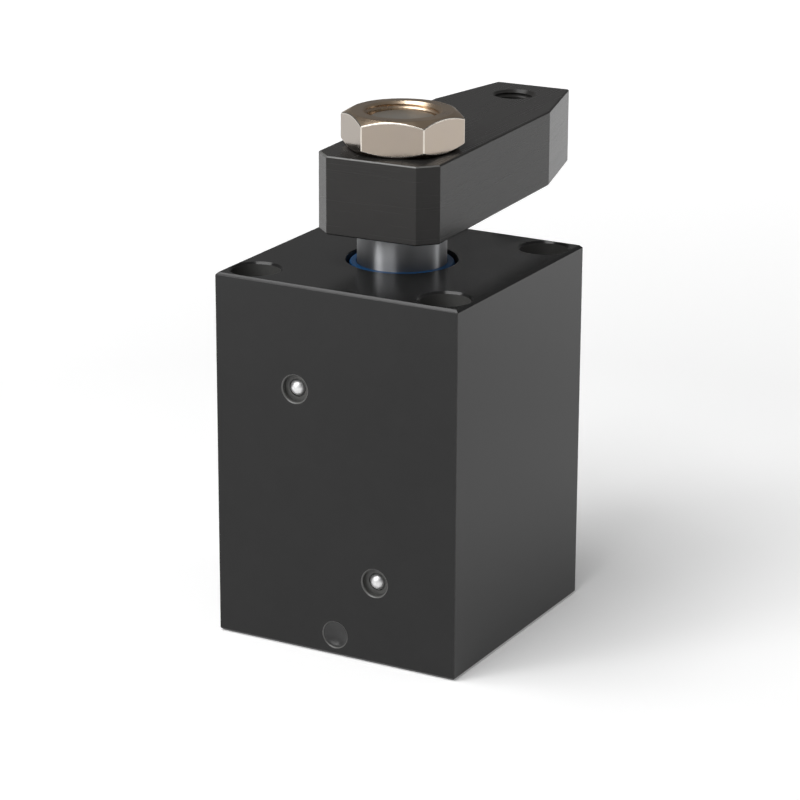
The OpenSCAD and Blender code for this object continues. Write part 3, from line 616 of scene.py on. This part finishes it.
# clamp arm: flat bar with cut corners, tapered tip and a tapped hole
arm = {"half": 14.75, "back": -15.3, "corner": 3.9, "taperFrom": 46.5, "tip": 70.0, "tipHalf": 9.25,
       "chamfer": 0.3, "edgeRound": 0.08, "hole": 8.53, "holeBevel": 0.3, "tapY": 59.2,
       "tap": 4.25, "tapMouth": 0.9, "tapPitch": 1.5, "tapDeep": 0.7, "tapStart": -0.4,
       "tapTurns": 12, "crisp": 10, "rimTilt": (0.3, 0.95)}
cut = arm["corner"]
armCorners = [(-arm["half"], arm["back"] + cut), (-arm["half"] + cut, arm["back"]),
              (arm["half"] - cut, arm["back"]), (arm["half"], arm["back"] + cut),
              (arm["half"], arm["taperFrom"]), (arm["tipHalf"], arm["tip"]),
              (-arm["tipHalf"], arm["tip"]), (-arm["half"], arm["taperFrom"])]
armPiece = pointStart("clampArm", *armCorners[0], armLow.z)
for (xa, ya), (xb, yb) in zip(armCorners, armCorners[1:] + armCorners[:1]):
    drawOut(xb - xa, yb - ya, 0)
bpy.ops.mesh.select_all(action='SELECT')
bpy.ops.mesh.remove_doubles(threshold=weldGap)
bpy.ops.mesh.edge_face_add()
drawOut(0, 0, armHigh.z - armLow.z)
bpy.ops.mesh.select_all(action='SELECT')
bpy.ops.mesh.normals_make_consistent(inside=False)
pickEdges(armPiece, isLevel)
bpy.ops.mesh.bevel(offset=arm["chamfer"] * mm, offset_type='OFFSET', segments=1)
bpy.ops.object.mode_set(mode='OBJECT')
applyModifier(armPiece, 'BEVEL', width=arm["edgeRound"] * mm, segments=2, limit_method='ANGLE',
              angle_limit=math.radians(sharpAngle))
carve(armPiece, throughCutter("spigotCutter", arm["hole"], arm["holeBevel"],
                              armLow.z, armHigh.z, 96))
tapAt = (0, arm["tapY"], 0)
carve(armPiece, place(throughCutter("tapCutter", arm["tap"], arm["tapMouth"],
                                    armLow.z, armHigh.z, 64), tapAt))
carve(armPiece, place(threadCutter("tapThread", arm["tap"], arm["tap"] + arm["tapDeep"],
                                   arm["tapPitch"], armLow.z + arm["tapStart"],
                                   arm["tapTurns"]), tapAt))
carve(armPiece, place(turned("armKeyCutter", keyOutline, 32), (0, -rod["spigot"], 0)))
place(armPiece, (0, 0, 0), (0, 0, armTurn))
# the taper leaves the side at about 13 degrees and keeps a crisp edge
finishPiece(armPiece, armSteel, "rod", "clamp_arm", smooth=arm["crisp"])
# the near end's upper bevel, in a paler colour that is a painted highlight
lineFaces(armPiece, rimHighlightSteel, lambda at, way: arm["rimTilt"][0] < way.z < arm["rimTilt"][1]
          and at.y < arm["back"] + cut and at.z > armHigh.z - 2 * arm["chamfer"])
print("arm done")

# thin hexagon nut: corners turned off at 30 degrees on both faces
nut = {"flats": 24.0, "turn": 18.4, "face": 11.4, "slope": math.tan(math.radians(30)), "hole": 8.03,
       "mouth": 0.8, "pitch": 1.5, "threadDeep": 0.6, "threadStart": -0.6, "threadTurns": 6,
       "edge": 0.22, "edgeAngle": 22, "edgeTilt": 0.15, "faceTilt": 0.8, "flatSlack": 0.2}
corner = nut["flats"] / math.sqrt(3)
drop = (corner - nut["face"]) * nut["slope"]
nutPiece = hexBar("armNut", nut["flats"], nutLow.z, nutHigh.z, nut["turn"])
nutPiece.data.name = "armNut"
wideOut, wideDrop = corner + pastFace, drop + pastFace * nut["slope"]
nutOutline = [(0, nutLow.z), (nut["face"], nutLow.z),
              (wideOut, nutLow.z + wideDrop), (wideOut, nutHigh.z - wideDrop),
              (nut["face"], nutHigh.z), (0, nutHigh.z)]
carve(nutPiece, turned("nutTurning", nutOutline, 144), 'INTERSECT')
applyModifier(nutPiece, 'BEVEL', width=nut["edge"] * mm, segments=2, limit_method='ANGLE',
              angle_limit=math.radians(nut["edgeAngle"]))
carve(nutPiece, throughCutter("nutHoleCutter", nut["hole"], nut["mouth"], nutLow.z, nutHigh.z, 96))
carve(nutPiece, threadCutter("nutThread", nut["hole"], nut["hole"] + nut["threadDeep"], nut["pitch"],
                             nutLow.z + nut["threadStart"], nut["threadTurns"]))
finishPiece(nutPiece, nutNickel, "rod", "arm_nut")
# painted highlight on the edges first, then the turned faces and the threaded hole in a paler copy
# that paints light on them
lineFaces(nutPiece, edgeHighlightNickel, lambda at, way: abs(way.z) > nut["edgeTilt"]
          or at.xy.length > nut["flats"] / 2 + nut["flatSlack"])
# flat faces and the hole take the paler copy: painted light
lineFaces(nutPiece, faceLitNickel, lambda at, way: abs(way.z) > nut["faceTilt"]
          or at.xy.length < nut["hole"] + nut["mouth"])
print("nut done")

# pieces that keep their CAD mesh, nearly all hidden inside, and only get a finish
insideLooks = {"end_cap": cutSteel, "end_cap_o_ring": blackRubber, "spring_plug": cutSteel,
               "spindle_spring": wireSteel, "rod_bush": sealBronze, "rod_seal": palePu,
               "cam_spindle": cutSteel, "spindle_retaining_ring": wireSteel,
               "piston_seal_ring": palePu, "piston_energiser": blackRubber,
               "piston_wear_ring": sealBronze, "piston": cutSteel,
               "piston_retaining_ring": wireSteel, "piston_o_ring": blackRubber,
               "guide_balls": ballSteel, "arm_key_pin": cutSteel}
for node, look in insideLooks.items():
    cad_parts[node].data.materials.clear()
    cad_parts[node].data.materials.append(look)
print("inner nodes dressed")

# white floor that keeps the shadow; for camera and mirror rays it glows where the lamps fall off
# metres, and shares of full white
sweep = {"size": 8, "below": 0.02 * mm, "paper": 0.9, "glowFrom": 0.2, "glowTo": 1.15,
         "nearGlow": 0.17, "farGlow": 1.0}
soloSelect()
bpy.ops.mesh.primitive_plane_add(size=sweep["size"], location=(0, 0, -sweep["below"]))
floor = bpy.context.object
floor.name = "floor"
floorPaper, tree = newMaterial("white paper sweep")
rays = addNode(tree, 'ShaderNodeLightPath')
seen = addNode(tree, 'ShaderNodeMath', {0: rays.outputs["Is Camera Ray"],
                                        1: rays.outputs["Is Glossy Ray"]}, operation='MAXIMUM')
seen = addNode(tree, 'ShaderNodeMath', {0: seen.outputs[0], 1: rays.outputs["Is Transmission Ray"]},
               operation='MAXIMUM')
coords = addNode(tree, 'ShaderNodeTexCoord')
reach = addNode(tree, 'ShaderNodeVectorMath', {0: coords.outputs["Object"]}, operation='LENGTH')
fade = addNode(tree, 'ShaderNodeMapRange', {"Value": reach.outputs["Value"],
                                            1: sweep["glowFrom"], 2: sweep["glowTo"],
                                            3: sweep["nearGlow"], 4: sweep["farGlow"]})
lift = addNode(tree, 'ShaderNodeMath', {0: seen.outputs[0], 1: fade.outputs[0]}, operation='MULTIPLY')
paper = addNode(tree, 'ShaderNodeBsdfDiffuse', {"Color": (sweep["paper"],) * 3 + (1,)})
glow = addNode(tree, 'ShaderNodeEmission', {"Strength": lift.outputs[0]})
closeMaterial(tree, addNode(tree, 'ShaderNodeAddShader', {0: paper.outputs[0], 1: glow.outputs[0]}))
floor.data.materials.append(floorPaper)

# lamps: a soft box overhead, a wide one low in front, strips on the left, behind and by the floor
lamps = {"overhead": {"at": (-0.25, -0.45, 1.35), "size": (1.3, 0.6), "watts": 14},
         "frontSoft": {"at": (-0.35, -1.1, 0.68), "size": (1.3, 0.6), "watts": 5.8},
         "leftStrip": {"at": (-0.68, -0.98, 0.7), "size": (0.36, 0.6), "watts": 3.0},
         "backStrip": {"at": (0.85, 0.7, 0.45), "size": (0.2, 0.7), "watts": 0.9},
         "floorStrip": {"at": (0.26, 0.2, 0.045), "size": (0.3, 0.08), "watts": 0.05}}
lampAim = Vector((0, 0, 0.06))  # about the block's middle
for name, lamp in lamps.items():
    bpy.ops.object.light_add(type='AREA', location=lamp["at"])
    light = bpy.context.object
    light.name = name
    light.data.shape = 'RECTANGLE'
    light.data.size, light.data.size_y = lamp["size"]
    light.data.energy = lamp["watts"]
    light.rotation_euler = (lampAim - Vector(lamp["at"])).to_track_quat('-Z', 'Y').to_euler()
roomLight = 0.17
world = bpy.data.worlds.new("dim room")
bpy.context.scene.world = world
world.use_nodes = True
world.node_tree.nodes["Background"].inputs["Color"].default_value = (1, 1, 1, 1)
world.node_tree.nodes["Background"].inputs["Strength"].default_value = roomLight
bpy.context.scene.view_settings.view_transform = 'Standard'

# camera, solved from the block's edges in an 800 x 800 picture: degrees and mm
eye = {"azimuth": 28.916, "elevation": 18.215, "roll": 0.233, "away": 705.05, "lens": 141.07,
       "sensor": 36, "nearest": 10, "aimSide": -0.308, "aimUp": 51.082}
az, el = math.radians(eye["azimuth"]), math.radians(eye["elevation"])
aim = Vector((eye["aimSide"] * math.cos(az), eye["aimSide"] * math.sin(az), eye["aimUp"])) * mm
back = Vector((math.sin(az) * math.cos(el), -math.cos(az) * math.cos(el), math.sin(el)))
bpy.ops.object.camera_add(location=aim + back * eye["away"] * mm)
camera = bpy.context.object
camera.data.lens = eye["lens"]
camera.data.sensor_width = eye["sensor"]
camera.data.clip_start = eye["nearest"] * mm
camera.rotation_euler = (-back).to_track_quat('-Z', 'Y').to_euler()
camera.rotation_euler.rotate_axis('Z', math.radians(eye["roll"]))
bpy.context.scene.camera = camera
print("stage ready")
